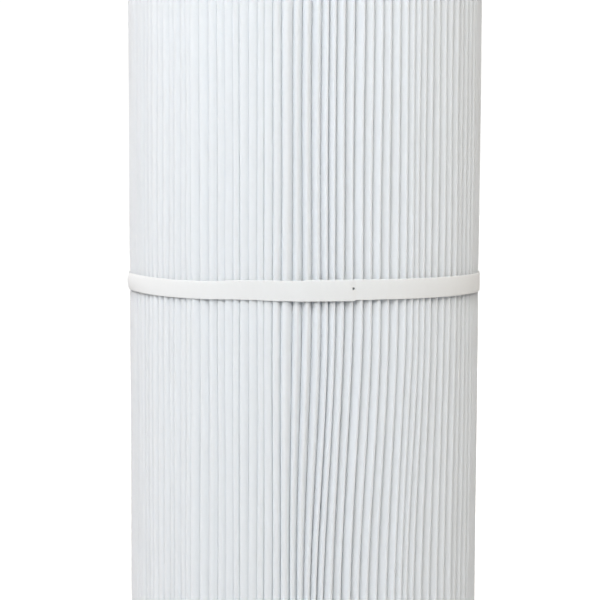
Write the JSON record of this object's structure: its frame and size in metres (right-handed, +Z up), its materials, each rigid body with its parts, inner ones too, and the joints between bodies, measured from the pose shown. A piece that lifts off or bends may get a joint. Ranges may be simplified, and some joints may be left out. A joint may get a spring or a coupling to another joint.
{
  "type": "pleated filter cartridge",
  "caption": "Pleated filter cartridge with open end caps, a perforated core and a cloth band, for a spa or small pool filter housing.",
  "frame": {"origin": "centre of the plane that the bottom cap's rim stands on", "axes": "+Z up along the cartridge's axis, -Y towards the side where the band's lap lies, +X to the right of it"},
  "size_m": [0.1254, 0.1254, 0.3381],
  "materials": {
    "media_cloth": "white spun-bonded polyester, matt, with its fine fibres laid at random",
    "band_cloth": "warm white spun-bonded polyester tape with sealed edges",
    "cap_plastic": "moulded plastic with a fine satin grain",
    "core_plastic": "natural white moulded polypropylene",
    "potting_resin": "cast resin, slightly glossy, levelled by its own flow",
    "gasket_rubber": "matt closed-cell rubber sheet",
    "seam_adhesive": "translucent hot-melt adhesive"
  },
  "bodies": {
    "root": {"bottom_end_cap": "cap_plastic", "bottom_gasket": "gasket_rubber", "bottom_potting": "potting_resin", "top_end_cap": "cap_plastic", "top_gasket": "gasket_rubber", "top_potting": "potting_resin", "core_section_1": "core_plastic", "core_section_2": "core_plastic", "core_section_3": "core_plastic", "core_section_4": "core_plastic", "pleated_media": "media_cloth", "media_seam_bead": "seam_adhesive", "middle_band": "band_cloth"}
  },
  "joints": []
}
